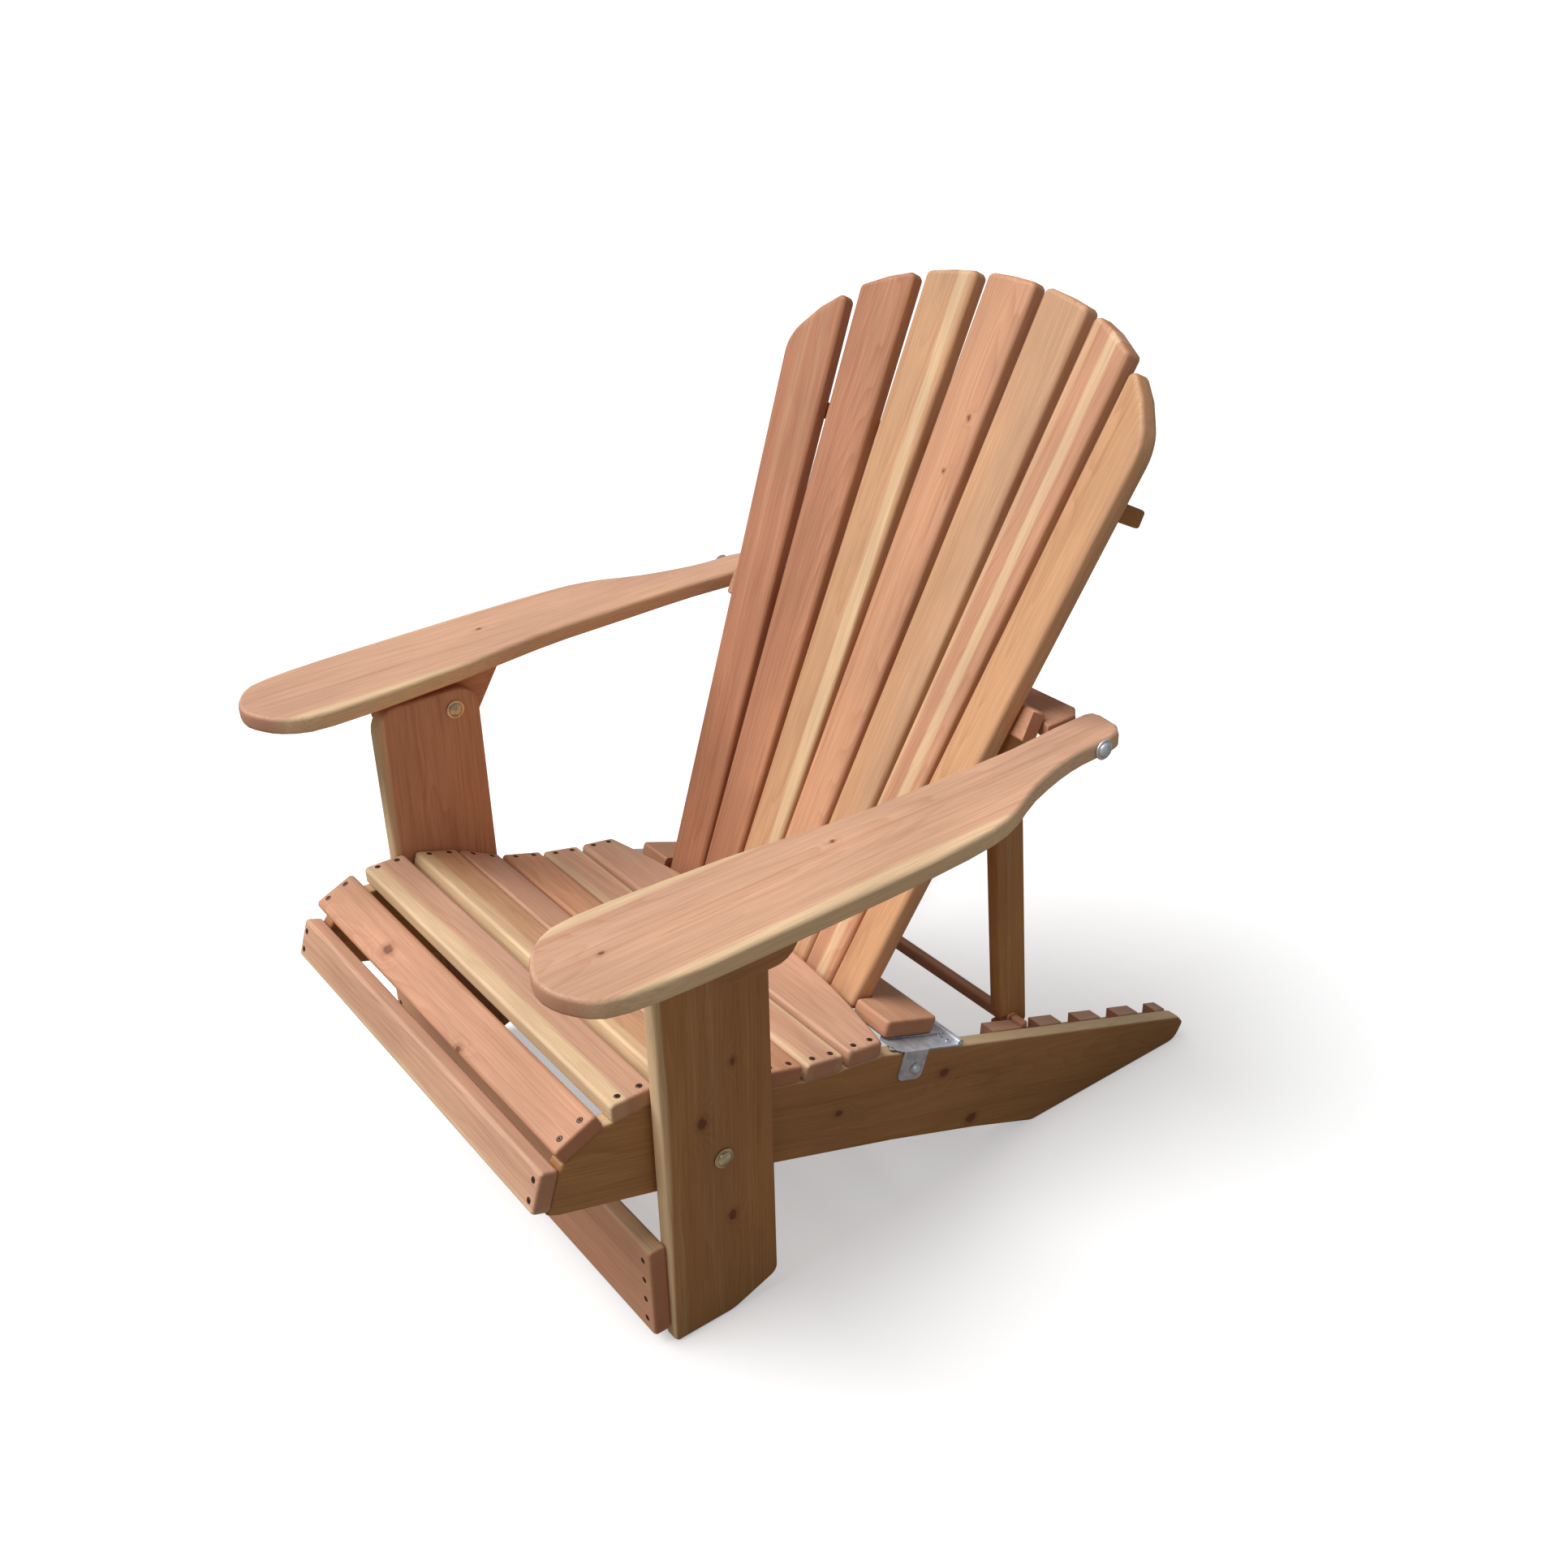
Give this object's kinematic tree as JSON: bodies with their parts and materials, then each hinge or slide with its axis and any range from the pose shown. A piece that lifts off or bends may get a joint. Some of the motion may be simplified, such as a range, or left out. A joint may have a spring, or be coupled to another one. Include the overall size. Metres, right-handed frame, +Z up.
{
  "type": "reclining adirondack chair",
  "caption": "Wooden adirondack chair with wide paddle arms, a fanned arched back, a curved slatted seat and a notched reclining prop.",
  "frame": {"origin": "on the ground under the middle of the chair's box", "axes": "+Z up, the sitter faces -Y, +X is at the sitter's left hand"},
  "size_m": [0.8464, 0.987, 0.9856],
  "materials": {
    "cedar": "smooth planed cedar, clear oil",
    "zinc_steel": "bright zinc plate"
  },
  "bodies": {
    "seat_frame": {"apron": "cedar", "seat_slat_1": "cedar", "seat_slat_2": "cedar", "seat_slat_3": "cedar", "seat_slat_4": "cedar", "seat_slat_5": "cedar", "seat_slat_6": "cedar", "seat_slat_7": "cedar", "stringer_left": "cedar", "stringer_right": "cedar", "rack_left": "cedar", "rack_right": "cedar", "hinge_base_left": "zinc_steel", "hinge_base_right": "zinc_steel", "hinge_pin_left": "zinc_steel", "hinge_pin_right": "zinc_steel", "hinge_bolt_left": "zinc_steel", "hinge_bolt_right": "zinc_steel"},
    "leg_frame": {"leg_left": "cedar", "leg_right": "cedar", "stretcher": "cedar", "leg_pivot_bolt_left": "zinc_steel", "leg_pivot_bolt_right": "zinc_steel"},
    "arm_frame": {"arm_left": "cedar", "arm_right": "cedar", "arm_block_left": "cedar", "arm_block_right": "cedar", "arm_pivot_bolt_left": "zinc_steel", "arm_pivot_bolt_right": "zinc_steel"},
    "prop_frame": {"prop_crossbar": "cedar", "prop_strut_left": "cedar", "prop_strut_right": "cedar", "prop_bar": "cedar", "prop_pivot_bolt_left": "zinc_steel", "prop_pivot_bolt_right": "zinc_steel"},
    "backrest": {"back_slat_1": "cedar", "back_slat_2": "cedar", "back_slat_3": "cedar", "back_slat_4": "cedar", "back_slat_5": "cedar", "back_slat_6": "cedar", "back_slat_7": "cedar", "back_rail_top": "cedar", "back_rail_middle": "cedar", "back_rail_bottom": "cedar", "hinge_leaf_left": "zinc_steel", "hinge_leaf_right": "zinc_steel"}
  },
  "joints": [
    {"name": "leg_pivot", "type": "hinge", "parent": "seat_frame", "child": "leg_frame", "pos_m": [0, -0.28053, 0.225], "axis": [-1, 0, 0], "range_deg": [0, 16]},
    {"name": "arm_pivot", "type": "hinge", "parent": "leg_frame", "child": "arm_frame", "pos_m": [0, -0.24813, 0.509], "axis": [1, 0, 0], "range_deg": [0, 5.2]},
    {"name": "prop_pivot", "type": "hinge", "parent": "arm_frame", "child": "prop_frame", "pos_m": [0, 0.20584, 0.56707], "axis": [1, 0, 0], "range_deg": [0, 31]},
    {"name": "backrest_hinge", "type": "hinge", "parent": "seat_frame", "child": "backrest", "pos_m": [0, 0.07844, 0.18833], "axis": [-1, 0, 0], "range_deg": [0, 16.2]}
  ],
  "couplings": [
    {"joint": "arm_pivot", "follows": "leg_pivot", "ratio": 0.3125},
    {"joint": "prop_pivot", "follows": "leg_pivot", "ratio": 1.9125},
    {"joint": "backrest_hinge", "follows": "leg_pivot", "ratio": 1}
  ]
}
